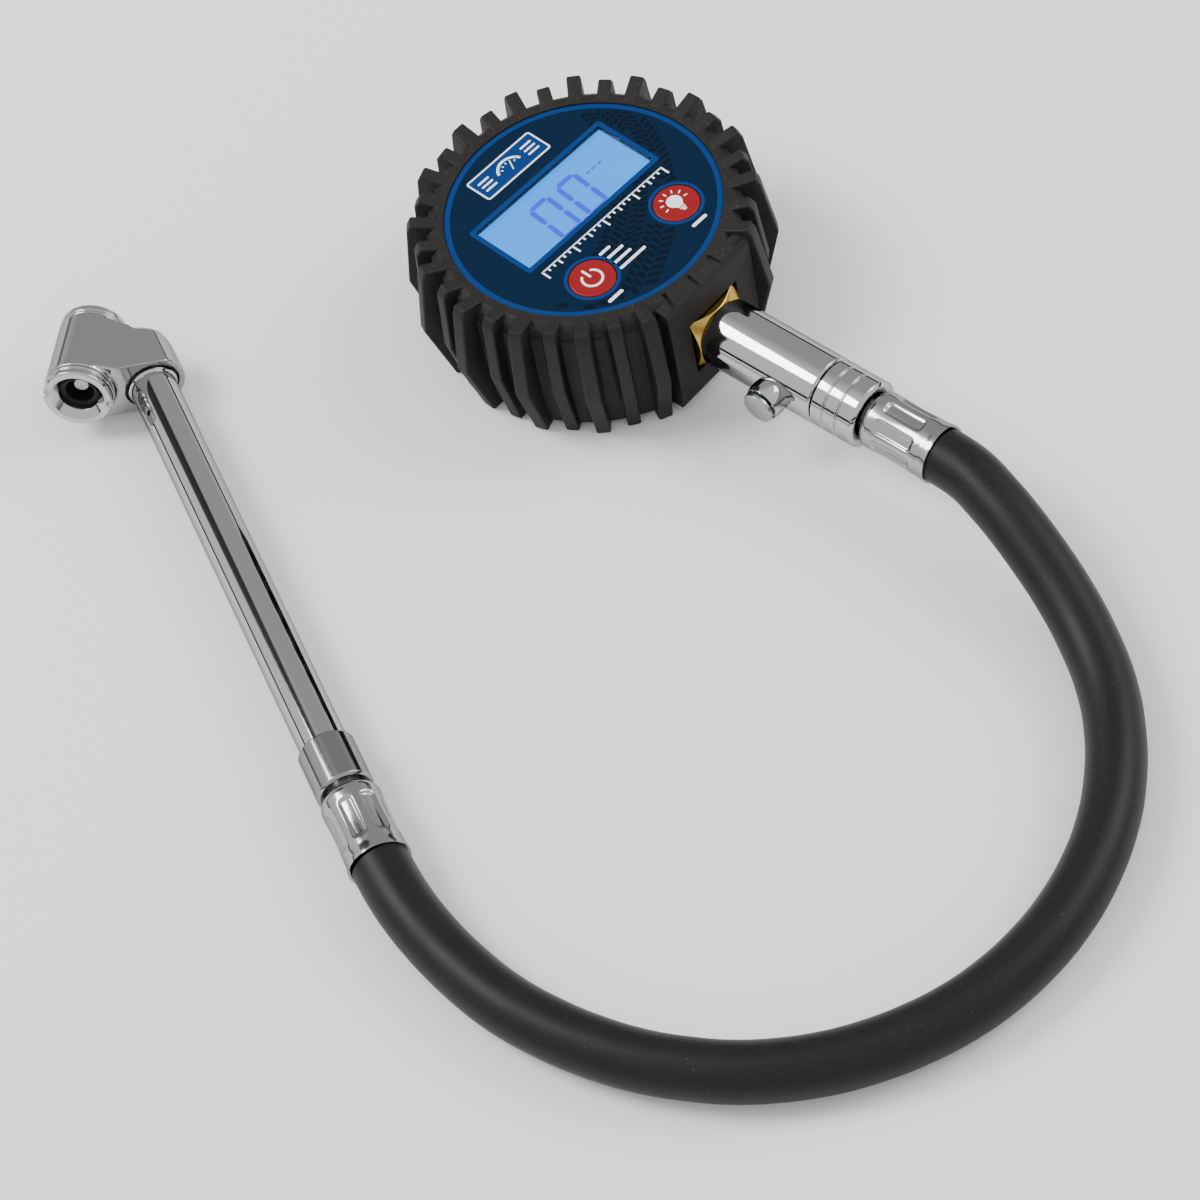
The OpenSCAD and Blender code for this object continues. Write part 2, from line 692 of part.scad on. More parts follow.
module chuck_head() color("#c8c8cc") difference() {
    union() {
        on_head() intersection() {
            translate([0, 0, -lobe_flat]) linear_extrude(height = 2 * lobe_flat) lobe_outline();
            union() {
                rotate([0, 90, 0]) cylinder(r = lobe_r, h = 2 * lobe_r, $fn = round_fn);
                translate([0, 0, -lobe_flat]) cube([2 * lobe_r, 2 * barrel_side, 2 * lobe_flat]);
            }
        }
        on_barrel() rod(barrel_r, -barrel_len / 2, barrel_len / 2);
    }
    on_tube(head_face) rod(tube_r, -cut, socket_depth);
    on_tube(head_face) rod(socket_ring_r, -cut, socket_ring_t);
    on_barrel() rod(chamber_r, -barrel_len / 2 - cut, barrel_len / 2 + cut);
    for (side = [-1, 1]) on_port(side) rod(insert_spigot_r, -insert_spigot, cut);
    on_head() translate([socket_depth - 1.5, 0, 0])
        rotate([0, 0, atan2(barrel_side, barrel_back - socket_depth + 1.5)]) rotate([0, 90, 0])
            rod(1.5, 1, norm([barrel_side, barrel_back - socket_depth + 1.5]));
}

module valve_insert() {
    difference() {
        rotate_extrude($fn = small_fn) polygon([
            [0, -insert_spigot], [insert_spigot_r, -insert_spigot], [insert_spigot_r, 0],
            [insert_r - 0.2, 0], [insert_r, 0.2], [insert_r, insert_flange - insert_edge],
            [insert_r - insert_edge, insert_flange], [mouth_r, insert_flange],
            [port_r, insert_flange - mouth_depth], [0, insert_flange - mouth_depth]
        ]);
        rod(port_r, 0, insert_flange + cut - mouth_depth);
        rod(seal_r, -insert_spigot - cut, seal_top);
        for (turn = [0, 180]) rotate([0, 0, turn]) translate([insert_r, 0, 0])
            rod(slot_r, insert_flange - 1.2, insert_flange + cut);
    }
}

module front_insert() color("#c8c8cc") on_port(1) valve_insert();

module rear_insert() color("#c8c8cc") on_port(-1) valve_insert();

module valve_seal() { ring(seal_r, seal_bore_r, -insert_spigot, seal_top); }

module front_seal() color("#202020") on_port(1) valve_seal();

module rear_seal() color("#202020") on_port(-1) valve_seal();

module depressor() {
    disc_top = -insert_spigot - 0.05;
    rod(pin_r, disc_top - 0.5, insert_flange - pin_tip);
    rod(pin_disc_r, disc_top - pin_disc_t + 0.05, disc_top);
}

module front_depressor() color("silver") on_port(1) depressor();

module rear_depressor() color("silver") on_port(-1) depressor();

module depressor_spring() color("silver") on_barrel()
    ring(spring_r, spring_r - spring_wall, -spring_len / 2, spring_len / 2);

rubber_boot();
rear_case();
battery_cover();
battery_cover_screw();
case_screws();
batteries();
battery_contacts();
circuit_board();
tact_switches();
backlight();
lcd_panel();
window_lens();
front_bezel();
dial_label();
unit_button();
light_button();
pressure_sensor();
stem_block();
stem_seal();
valve_body();
bleed_boss();
bleed_button();
bleed_seal();
bleed_spring();
swivel_collar();
swivel_seal();
gauge_hose_tail();
gauge_ferrule();
hose();
chuck_ferrule();
chuck_hose_tail();
chuck_collar();
chuck_tube();
chuck_head();
front_insert();
rear_insert();
front_seal();
rear_seal();
front_depressor();
rear_depressor();
depressor_spring();
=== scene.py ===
import math

import bpy
from mathutils import Matrix, Vector


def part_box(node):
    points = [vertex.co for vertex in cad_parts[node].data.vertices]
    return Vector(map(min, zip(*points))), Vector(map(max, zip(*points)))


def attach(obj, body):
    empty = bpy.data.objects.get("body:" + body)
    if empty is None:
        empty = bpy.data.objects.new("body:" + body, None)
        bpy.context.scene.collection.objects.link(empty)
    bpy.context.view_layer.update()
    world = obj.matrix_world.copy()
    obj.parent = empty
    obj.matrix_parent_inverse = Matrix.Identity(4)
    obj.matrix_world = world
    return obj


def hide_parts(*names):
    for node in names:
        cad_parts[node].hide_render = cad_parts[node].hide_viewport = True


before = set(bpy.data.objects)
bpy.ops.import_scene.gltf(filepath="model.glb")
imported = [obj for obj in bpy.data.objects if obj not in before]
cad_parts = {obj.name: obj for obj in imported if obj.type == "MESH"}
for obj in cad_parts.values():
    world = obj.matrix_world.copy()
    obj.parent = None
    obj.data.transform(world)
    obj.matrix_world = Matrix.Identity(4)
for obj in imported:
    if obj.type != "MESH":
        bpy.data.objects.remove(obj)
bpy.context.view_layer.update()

mm = 0.001

# ---------------------------------------------------------------------------
# Camera: a long lens, high over the gauge's left front, rolled a little to
# one side, so that the hose's loop fills the frame.
# ---------------------------------------------------------------------------
camera_place = (-0.3408, -0.4073, 0.6103)
camera_turn = (35.89, 8.0, -49.12)
bpy.ops.object.camera_add(location=camera_place, rotation=[math.radians(a) for a in camera_turn])
camera = bpy.context.object
camera.data.sensor_width = 36
camera.data.lens = 112.35
bpy.context.scene.camera = camera

# ---------------------------------------------------------------------------
# Hose: extruded nitrile rubber, 12 mm outside, pushed on a barbed tail at each
# end. It comes straight out of the gauge's ferrule, sinks on to the bench and
# runs in one open loop to the chuck's ferrule.
# ---------------------------------------------------------------------------
stem_low, stem_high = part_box("stem_block")
stem_z = (stem_low[2] + stem_high[2]) / 2
hose_d = 12 * mm
hose_lie = hose_d / 2
hose_exit = (0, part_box("gauge_ferrule")[0][1], stem_z)
chuck_yaw, chuck_roll = math.radians(64.2), math.radians(18.6)
chuck_end = Vector((-135.4, -60.8, 7.4)) * mm
hose_route = [
    (-0.5, -101, 9.7), (-2, -107.5, 8.8), (-4, -114.5, 7.5), (-6.5, -122, 5.6), (-10, -131, 3.2),
    (-15, -140.5, 1.2), (-21, -149, 0.2), (-28.5, -156.5, 0), (-37, -162.8, 0), (-46.5, -167.8, 0),
    (-57, -171.3, 0), (-67, -173, 0), (-77, -173.2, 0), (-86.5, -172, 0), (-95, -169.7, 0),
    (-103, -166.3, 0), (-110.5, -162, 0), (-117.5, -156.8, 0), (-123.5, -151, 0),
    (-129, -144.3, 0), (-133.5, -137, 0), (-137.5, -128.8, 0), (-140.5, -119.8, 0),
    (-142.5, -110.5, 0), (-143.5, -100.5, 0), (-143, -90, 0), (-141.3, -79, 0.3),
    (-138.7, -69.2, 1),
]


def srgb(code):
    """A colour from its sRGB hex code, as linear red, green, blue and alpha."""
    parts = [int(code[i:i + 2], 16) / 255 for i in (1, 3, 5)]
    return [p / 12.92 if p <= 0.04045 else ((p + 0.055) / 1.055) ** 2.4 for p in parts] + [1]


def add(tree, kind, settings=(), links=()):
    """Adds a shader node: settings are (input or property, value), links are (input, socket)."""
    made = tree.nodes.new(kind)
    for name, value in settings:
        if name in made.inputs:
            made.inputs[name].default_value = value
        else:
            setattr(made, name, value)
    for name, socket in links:
        tree.links.new(socket, made.inputs[name])
    return made


def new_material(name, settings):
    """A material with a Principled shader; returns it, its tree, the shader and object coordinates."""
    made = bpy.data.materials.new(name)
    made.use_nodes = True
    tree = made.node_tree
    shader = tree.nodes["Principled BSDF"]
    for key, value in settings:
        shader.inputs[key].default_value = value
    where = add(tree, "ShaderNodeTexCoord").outputs["Object"]
    return made, tree, shader, where


def texture(tree, shader, gloss, rough_low, rough_high, grain, strength, bump_mm):
    """The surface's texture: one noise varies its roughness, another raises its grain."""
    rough = add(tree, "ShaderNodeMapRange", [("To Min", rough_low), ("To Max", rough_high)],
                [("Value", gloss)])
    tree.links.new(rough.outputs["Result"], shader.inputs["Roughness"])
    bump = add(tree, "ShaderNodeBump", [("Strength", strength), ("Distance", bump_mm * mm)],
               [("Height", grain)])
    tree.links.new(bump.outputs["Normal"], shader.inputs["Normal"])


def speckled(name, dark, light, grain_mm, dust_mm, dust_code, roughness, bump_mm):
    """Rubber: two close shades, specks of dust, and a grain drawn coarse enough to show."""
    made, tree, shader, where = new_material(name, [("IOR", 1.52), ("Specular IOR Level", 0.22)])
    cloud = add(tree, "ShaderNodeTexNoise", [("Scale", 1 / (12 * mm)), ("Detail", 4.0)],
                [("Vector", where)]).outputs["Fac"]
    tone = add(tree, "ShaderNodeMixRGB", [("Color1", srgb(dark)), ("Color2", srgb(light))],
               [("Fac", cloud)])
    dust = add(tree, "ShaderNodeTexNoise", [("Scale", 1 / (dust_mm * mm)), ("Detail", 1.0)],
               [("Vector", where)])
    spots = add(tree, "ShaderNodeMapRange",
                [("From Min", 0.69), ("From Max", 0.76), ("To Min", 0.0), ("To Max", 0.6)],
                [("Value", dust.outputs["Fac"])])
    colour = add(tree, "ShaderNodeMixRGB", [("Color2", srgb(dust_code))],
                 [("Fac", spots.outputs["Result"]), ("Color1", tone.outputs["Color"])])
    tree.links.new(colour.outputs["Color"], shader.inputs["Base Color"])
    grain = add(tree, "ShaderNodeTexNoise", [("Scale", 1 / (grain_mm * mm)), ("Detail", 2.0)],
                [("Vector", where)]).outputs["Fac"]
    texture(tree, shader, cloud, roughness - 0.06, roughness + 0.08, grain, 0.35, bump_mm)
    return made


def give(piece, material, slot, *replaced):
    """Sets a piece's material and hides the CAD nodes that it stands for; its slot is not used."""
    piece.data.materials.clear()
    piece.data.materials.append(material)
    if replaced:
        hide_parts(*replaced)


# Extruded nitrile rubber: close, even and satin, with a very fine grain.
hose_rubber = speckled("extruded_nitrile", "#0f0f0f", "#151515", 0.35, 0.5, "#3c3a38", 0.46, 0.012)

bpy.ops.object.select_all(action="DESELECT")
bpy.ops.curve.primitive_bezier_curve_add(location=(0, 0, 0))
hose = bpy.context.object
hose.name = "rubber_hose"
line = hose.data.splines[0]
route = [Vector(hose_exit)] + [Vector((x * mm, y * mm, z * mm + hose_lie)) for x, y, z in hose_route]
route.append(chuck_end)
line.bezier_points.add(len(route) - 2)
for knot, place in zip(line.bezier_points, route):
    knot.co = place
    knot.handle_left_type = knot.handle_right_type = "AUTO"
line.resolution_u = 6
hose.data.dimensions = "3D"
hose.data.bevel_depth = hose_d / 2
hose.data.bevel_resolution = 10
hose.data.use_fill_caps = True
give(hose, hose_rubber, "hose_rubber", "hose")
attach(hose, "hose_and_chuck")

# ---------------------------------------------------------------------------
# Rubber boot: one matt black moulding, stretched over the case. Large and
# small lugs stand round it like a tyre's tread, and a flat pad with a square
# opening takes the stem.
# ---------------------------------------------------------------------------
case_r = 30
boot_r = 34
rim_z = 32
crease_z = 16.3
pad_y, pad_half_w = 34.3, 13
opening_w = 15
groove_turns = (-106.4, -94.2, -82)


def turned(name, outline, steps=144):
    """A turned piece about Z: its outline, in mm from the axis and up it, is spun a full turn."""
    bpy.ops.object.select_all(action="DESELECT")
    bpy.ops.mesh.primitive_plane_add(size=mm, location=(0, 0, 0))
    piece = bpy.context.object
    piece.name = name
    bpy.ops.object.mode_set(mode="EDIT")
    bpy.ops.mesh.merge(type="CENTER")
    bpy.ops.transform.translate(value=(outline[0][0] * mm, 0, outline[0][1] * mm))
    for (r0, z0), (r1, z1) in zip(outline, outline[1:]):
        step = ((r1 - r0) * mm, 0, (z1 - z0) * mm)
        bpy.ops.mesh.extrude_region_move(TRANSFORM_OT_translate={"value": step})
    bpy.ops.mesh.select_all(action="SELECT")
    bpy.ops.mesh.spin(steps=steps, angle=2 * math.pi, center=(0, 0, 0), axis=(0, 0, 1))
    bpy.ops.mesh.select_all(action="SELECT")
    bpy.ops.mesh.remove_doubles(threshold=0.002 * mm)
    bpy.ops.mesh.normals_make_consistent(inside=False)
    bpy.ops.object.mode_set(mode="OBJECT")
    return piece


def plate(name, outline, low, high):
    """A flat plate between two heights: an outline in mm in the XY plane, made thick."""
    bpy.ops.object.select_all(action="DESELECT")
    bpy.ops.mesh.primitive_circle_add(vertices=len(outline), radius=mm, fill_type="NGON", location=(0, 0, 0))
    piece = bpy.context.object
    piece.name = name
    for corner, (x, y) in zip(piece.data.vertices, outline):
        corner.co = (x * mm, y * mm, low * mm)
    bpy.ops.object.mode_set(mode="EDIT")
    bpy.ops.mesh.select_all(action="SELECT")
    bpy.ops.mesh.extrude_region_move(TRANSFORM_OT_translate={"value": (0, 0, (high - low) * mm)})
    bpy.ops.mesh.select_all(action="SELECT")
    bpy.ops.mesh.normals_make_consistent(inside=False)
    bpy.ops.object.mode_set(mode="OBJECT")
    return piece


def choose(*pieces):
    """Selects only these pieces, the first one active."""
    bpy.ops.object.select_all(action="DESELECT")
    for piece in pieces:
        piece.select_set(True)
    bpy.context.view_layer.objects.active = pieces[0]


def apply_all(piece):
    """Applies a piece's modifiers in order."""
    choose(piece)
    for modifier in list(piece.modifiers):
        bpy.ops.object.modifier_apply(modifier=modifier.name)


def smooth(piece, angle=38):
    """Shades a piece smooth up to an angle, with flat faces kept flat beside their rounded edges."""
    choose(piece)
    bpy.ops.object.shade_smooth_by_angle(angle=math.radians(angle))
    weighted = piece.modifiers.new("flat_faces", "WEIGHTED_NORMAL")
    weighted.keep_sharp = True
    weighted.weight = 90
    apply_all(piece)


def ease(piece, width, segments=3, angle=30):
    """Rounds a piece's sharp edges and shades it smooth."""
    bevel = piece.modifiers.new("eased_edges", "BEVEL")
    bevel.width = width * mm
    bevel.segments = segments
    bevel.limit_method = "ANGLE"
    bevel.angle_limit = math.radians(angle)
    apply_all(piece)
    smooth(piece)


def combine(piece, other, how):
    """Joins another closed piece to this one, or cuts it away."""
    boolean = piece.modifiers.new(how.lower(), "BOOLEAN")
    boolean.operation = how
    boolean.solver = "EXACT"
    boolean.object = other
    apply_all(piece)
    bpy.data.objects.remove(other)


def join(pieces, name):
    """Makes one object of several."""
    choose(*pieces)
    bpy.ops.object.join()
    pieces[0].name = name
    return pieces[0]


def copies(piece, places):
    """Copies a piece, each with its own mesh, to the places that the matrices give."""
    made = []
    for place in places:
        copy = piece.copy()
        copy.data = piece.data.copy()
        bpy.context.collection.objects.link(copy)
        copy.data.transform(place)
        made.append(copy)
    bpy.data.objects.remove(piece)
    return made


def box_outline(x, y, w, h, corner=0.0, steps=5):
    """A rectangle about its centre, with round corners."""
    if not corner:
        return [(x + sx * w / 2, y + sy * h / 2) for sx, sy in ((-1, -1), (1, -1), (1, 1), (-1, 1))]
    made = []
    for sx, sy, start in ((1, 1, 0), (-1, 1, 90), (-1, -1, 180), (1, -1, 270)):
        for i in range(steps + 1):
            a = math.radians(start + 90 * i / steps)
            made.append((x + sx * (w / 2 - corner) + corner * math.cos(a),
                         y + sy * (h / 2 - corner) + corner * math.sin(a)))
    return made


def turn_z(degrees):
    """A turn about the upright axis."""
    return Matrix.Rotation(math.radians(degrees), 4, "Z")


# Large lugs stand at even steps from one side of the stem round to the other; a small one stands
# half way between each two.
lug_first, lug_last, lug_count = 23.5, 27, 15
lug_pitch = (360 - lug_first - lug_last) / (lug_count - 1)
lug_root = [(case_r + 2, 0), (case_r + 2, 28), (case_r + 0.3, 31.4)]
big_lug = [(case_r + 0.3, rim_z + 0.15), (boot_r + 2.4, 33.5), (boot_r + 3.4, 31.6),
           (boot_r + 5.6, crease_z), (boot_r + 1.2, 0)] + lug_root
small_lug = [(case_r + 0.3, rim_z + 0.12), (boot_r + 1, 33.2), (boot_r + 2.3, 31.3),
             (boot_r + 3.5, crease_z), (boot_r + 0.4, 0)] + lug_root
lugs = []
for outline, width, count, start in ((big_lug, 3.1, lug_count, 0), (small_lug, 2.9, lug_count - 1, 0.5)):
    lug = plate("lug", outline, -width / 2, width / 2)
    lug.data.transform(Matrix.Rotation(math.radians(90), 4, "X"))
    ease(lug, 0.45)
    lugs += copies(lug, [turn_z(-90 + lug_first + (i + start) * lug_pitch) for i in range(count)])
boot = turned("rubber_boot_moulding", [
    (26, 0), (31, 0), (33.3, 1.5), (34.3, crease_z), (34, 28.6), (33.5, 29), (33.3, 30.7), (31.6, rim_z),
    (29.5, rim_z), (29.5, 31.2), (30.1, 31.2), (30.1, 1.5), (26, 1.5), (26, 0)])
ease(boot, 0.3, 2)
combine(boot, join(lugs, "lugs"), "UNION")

# The pad's outline is drawn from the stem's side: across the dial and up.
pad = plate("pad", [(-pad_y, 3), (-pad_y, 30.4), (-pad_y + 0.7, 31.4), (-30.8, 31.9), (-30.8, 31.3),
                    (-31, 31), (-31, 2), (-pad_y + 0.7, 2)], -pad_half_w, pad_half_w)
pad.data.transform(Matrix(((0, 0, 1, 0), (1, 0, 0, 0), (0, 1, 0, 0), (0, 0, 0, 1))))
ease(pad, 0.5)
combine(boot, pad, "UNION")
bpy.ops.mesh.primitive_cube_add(size=opening_w * mm, location=(0, -33 * mm, stem_z))
combine(boot, bpy.context.object, "DIFFERENCE")
for turn in groove_turns:
    groove = plate("groove", box_outline(32.8, 0, 4.6, 0.75, 0.2), 31.2, 33)
    groove.data.transform(turn_z(turn))
    combine(boot, groove, "DIFFERENCE")
smooth(boot)

# Moulded rubber: matt, slightly brown, with a fine spark-eroded grain and dust.
boot_rubber = speckled("moulded_rubber", "#161514", "#221f1d", 0.3, 0.45, "#55504a", 0.6, 0.03)
give(boot, boot_rubber, "boot_rubber", "rubber_boot")
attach(boot, "gauge")

# ---------------------------------------------------------------------------
# Case and its insides: two ABS shells, a battery cover, their screws, the cells
# and the electronics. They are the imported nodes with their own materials.
# ---------------------------------------------------------------------------


def plain(name, code, roughness, grain_mm, bump_mm, metallic=0.0, more=()):
    """An even finish with a fine grain, such as plastic, film or paint; the grain is drawn coarse."""
    made, tree, shader, where = new_material(
        name, [("Base Color", srgb(code)), ("Metallic", metallic), *more])
    grain = add(tree, "ShaderNodeTexNoise", [("Scale", 1 / (grain_mm * mm)), ("Detail", 3.0)],
                [("Vector", where)]).outputs["Fac"]
    texture(tree, shader, grain, roughness * 0.8, roughness * 1.2, grain, 0.2, bump_mm)
    return made


def paint(node, material):
    """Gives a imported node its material."""
    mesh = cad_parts[node].data
    mesh.materials.clear()
    mesh.materials.append(material)


# Spark-textured black ABS: dull and even.
case_abs = plain("textured_abs", "#1d1d1f", 0.5, 0.4, 0.03)
# Zinc plated steel: pale grey, half bright.
zinc_steel = plain("zinc_plated_steel", "#a8a8aa", 0.3, 0.2, 0.005, 1.0)
for node in ("rear_case", "front_bezel", "battery_cover"):
    paint(node, case_abs)
for node in ("case_screws", "battery_cover_screw", "battery_contacts", "pressure_sensor"):
    paint(node, zinc_steel)
# The cells' shiny gold sleeve, the board's green mask, dark switch plastic and a white light guide.
paint("batteries", plain("printed_cell_sleeve", "#a8842c", 0.25, 0.5, 0.005))
paint("circuit_board", plain("green_solder_mask", "#1f6b3a", 0.3, 0.3, 0.01))
paint("tact_switches", plain("switch_plastic", "#303030", 0.5, 0.3, 0.01))
paint("backlight", plain("white_light_guide", "#e8eef5", 0.3, 0.5, 0.005))

# ---------------------------------------------------------------------------
# Dial label: a navy polycarbonate film, printed from behind with a blue ring,
# frames, a tyre tread and white marks. The prints are thin layers on it.
# ---------------------------------------------------------------------------
face_z = 31.5
print_z = face_z + 0.03
dial = turn_z(-2.75)
window_w, window_h, window_y = 37.4, 15.9, 5.5
button_x, button_y, button_r = 12.75, -14.9, 5

# Satin film that hardly shines: deep navy, with a brighter blue, a near black and a white ink.
film = [("Specular IOR Level", 0.1)]
navy_film = plain("navy_film", "#021b33", 0.42, 0.25, 0.004, 0.0, film)
blue_print = plain("blue_print", "#09336a", 0.42, 0.25, 0.004, 0.0, film)
tread_print = plain("tread_print", "#01101e", 0.42, 0.25, 0.004, 0.0, film)
white_print = plain("white_print", "#f4f6f8", 0.4, 0.25, 0.004, 0.0, film)
paint("dial_label", navy_film)


def printed(piece, material, body="gauge", slot="label_film"):
    """Turns a print with the dial, gives it its ink and fixes it to its body."""
    piece.data.transform(dial)
    give(piece, material, slot)
    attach(piece, body)


def ring_print(name, inner, outer, steps):
    """A printed ring about the dial's centre."""
    return turned(name, [(inner, face_z), (outer, face_z), (outer, print_z), (inner, print_z),
                         (inner, face_z)], steps)


def ink(outline, over=0.0):
    """A printed mark; one that lies over another print is that much thicker."""
    return plate("ink", outline, face_z, print_z + over)


printed(ring_print("dial_ring_print", 28.2, 29.42, 144), blue_print)
border = plate("window_border_print", box_outline(0, window_y, window_w + 2.3, window_h + 2.3, 0.9),
               face_z, print_z)
opening = plate("opening", box_outline(0, window_y, window_w, window_h, 0.15), face_z - 1, print_z + 1)
combine(border, opening, "DIFFERENCE")
printed(border, blue_print)
for side, name in ((-1, "unit"), (1, "light")):
    ring = ring_print(name + "_ring_print", button_r + 0.2, button_r + 0.95, 96)
    ring.data.transform(Matrix.Translation((side * button_x * mm, button_y * mm, 0)))
    printed(ring, blue_print)


def tread_point(t, across):
    """A point on the printed tread's curved track, across it by a number of mm."""
    a, b, c = Vector((23.5, 20)), Vector((22, -13)), Vector((-21, -23))
    on = a * (1 - t) ** 2 + b * 2 * t * (1 - t) + c * t * t
    way = ((b - a) * (1 - t) + (c - b) * t).normalized()
    return on + Vector((way.y, -way.x)) * across


def clear_of_marks(x, y):
    """Whether a point lies on bare film: off the ring, the window's frame and the buttons."""
    in_window = abs(x) < window_w / 2 + 1.2 and abs(y - window_y) < window_h / 2 + 1.2
    near_button = min(math.hypot(x - side * button_x, y - button_y) for side in (-1, 1)) < button_r + 1
    return math.hypot(x, y) < 28.1 and not in_window and not near_button


# Tread blocks: where each column starts and ends across the track, and how far along its blocks lean.
columns = ((-7.5, -5.2, 0.6), (-4.8, -2.9, -0.45), (-2.8, -0.9, -0.45), (-0.5, 1.3, 0.45),
           (1.4, 3.2, 0.45), (3.6, 5.9, -0.7), (6.3, 8, 0.3))
rows = 40
block_len, tread_t = 0.62 / rows, 0.015
blocks = []
for row in range(rows):
    t = row / rows
    wide = 0.62 + 0.5 * t
    for low, high, lean in columns:
        shift = lean / rows
        corners = [tread_point(t, low * wide), tread_point(t + block_len, low * wide),
                   tread_point(t + block_len + shift, high * wide), tread_point(t + shift, high * wide)]
        if all(clear_of_marks(*corner) for corner in corners):
            blocks.append(plate("block", corners, face_z, face_z + tread_t))
printed(join(blocks, "tread_print_blocks"), tread_print)

# White marks: a plain graduated scale under the window, four short bars beside
# the left button, one under each button, and a plain badge with a pictogram.
scale_x, scale_y, scale_step = -18, -5.5, 1.5
line_w = 0.42
marks = []
for i in range(25):
    tall = 2.4 if i % 6 == 0 else 1.6 if i % 3 == 0 else 1.0
    marks.append(ink(box_outline(scale_x + scale_step * i, scale_y - tall / 2, line_w, tall)))
marks.append(ink(box_outline(0, scale_y, -2 * scale_x + line_w, 0.3)))
list_x, list_y, list_step = -7.4, -11.8, 2
for i, wide in enumerate((3.2, 5, 5.3, 7.6)):
    marks.append(ink(box_outline(list_x + wide / 2, list_y - list_step * i, wide, 0.7, 0.3)))
caption_y = -22.1
for x in (-13.3, 12.1):
    marks.append(ink(box_outline(x, caption_y, 4.2, 0.8, 0.35)))
printed(join(marks, "scale_print"), white_print)

badge_x, badge_y, badge_w, badge_h = -0.95, 21.1, 19, 7.2
badge = plate("badge_border_print", box_outline(badge_x, badge_y, badge_w, badge_h, 0.7), face_z, print_z)
printed(badge, white_print)
badge = plate("badge_print", box_outline(badge_x, badge_y, badge_w - 0.8, badge_h - 0.8, 0.4),
              face_z, print_z + 0.02)
printed(badge, blue_print)


def arc(x, y, inner, outer, start, end, steps=24):
    """A band along an arc, from one angle to another."""
    turns = [math.radians(start + (end - start) * i / steps) for i in range(steps + 1)]
    return [(x + outer * math.cos(a), y + outer * math.sin(a)) for a in turns] + \
           [(x + inner * math.cos(a), y + inner * math.sin(a)) for a in reversed(turns)]


def spoke(x, y, near, far, angle, half_w=0.14):
    """A thin bar that points away from a centre, from one distance to another."""
    c, s = math.cos(math.radians(angle)), math.sin(math.radians(angle))
    return [(x + r * c + side * s, y + r * s - side * c)
            for r, side in ((near, half_w), (far, half_w), (far, -half_w), (near, -half_w))]


# The pictogram: a small pointer dial, with three bars on each side.
over_badge = 0.04
hub_y = badge_y - 1.5
pictogram = [ink(arc(badge_x, hub_y, 3.1, 3.7, 20, 160), over_badge)]
for angle in (40, 65, 90, 115, 140):
    near, far = (2.2, 2.7) if angle != 65 else (0, 2.8)
    pictogram.append(ink(spoke(badge_x, hub_y, near, far, angle), over_badge))
for side in (-1, 1):
    for row in (-1, 0, 1):
        bar = box_outline(badge_x + side * 6.4, badge_y + 1.3 * row, 3.2, 0.5, 0.2)
        pictogram.append(ink(bar, over_badge))
printed(join(pictogram, "badge_pictogram"), white_print)

# ---------------------------------------------------------------------------
# Display: a lit liquid crystal cell behind a clear acrylic lens, with slanted
# seven-bar figures.
# ---------------------------------------------------------------------------
lens_low, lens_high = 29.95, 30.4
lcd_z = 29.9


def glowing(name, base, first, second, cloud_mm, strength):
    """A satin surface that shines by itself, clouded between two close shades."""
    made, tree, shader, where = new_material(
        name, [("Base Color", srgb(base)), ("Roughness", 0.3), ("Specular IOR Level", 0.1),
               ("Emission Strength", strength)])
    cloud = add(tree, "ShaderNodeTexNoise", [("Scale", 1 / (cloud_mm * mm)), ("Detail", 1.0)],
                [("Vector", where)])
    glow = add(tree, "ShaderNodeMixRGB", [("Color1", srgb(first)), ("Color2", srgb(second))],
               [("Fac", cloud.outputs["Fac"])])
    tree.links.new(glow.outputs["Color"], shader.inputs["Emission Color"])
    return made


# Lit display glass: blue, a little uneven, as its diffuser clouds it.
paint("lcd_panel", glowing("lit_display_glass", "#04101c", "#008cff", "#06a0ff", 22, 1.8))
# Driven liquid crystal: a violet-blue shade that lets less light through.
dark_cell = glowing("driven_crystal", "#0c1030", "#0030ff", "#0840ff", 9, 1.5)

digit_w, digit_h, bar_w = 6.1, 12.2, 1.15
digit_foot = -2.2
point_w = 1.1
figure_t = 0.02
slant = Matrix(((1, 0.064, 0, 0), (0, 1, 0, 0), (0, 0, 1, 0), (0, 0, 0, 1)))


def segment(x0, y0, x1, y1):
    """One bar of a figure, pointed at both ends, short of its two corners."""
    a, b = Vector((x0, y0)), Vector((x1, y1))
    way = (b - a).normalized()
    side = Vector((-way.y, way.x)) * bar_w / 2
    a, b = a + way * 0.12, b - way * 0.12
    tip = way * bar_w / 2
    return [a, a + tip - side, b - tip - side, b, b - tip + side, a + tip + side]


outlines = []
for left in (-7.9, 0.2):
    x0, x1 = left + bar_w / 2, left + digit_w - bar_w / 2
    y0, y1 = digit_foot + bar_w / 2, digit_foot + digit_h - bar_w / 2
    middle = (y0 + y1) / 2
    outlines += [segment(*ends) for ends in (
        (x0, y1, x1, y1), (x0, middle, x0, y1), (x1, middle, x1, y1),
        (x0, y0, x0, middle), (x1, y0, x1, middle), (x0, y0, x1, y0))]
outlines.append(box_outline(-0.85, -1.7, point_w, point_w))
outlines += [box_outline(8.2 + 1.7 * i, 7.1, 1.1, 0.45) for i in range(3)]
figures = join([plate("bar", outline, lcd_z, lcd_z + figure_t) for outline in outlines], "display_figures")
figures.data.transform(slant)
printed(figures, dark_cell, slot="display_glass")

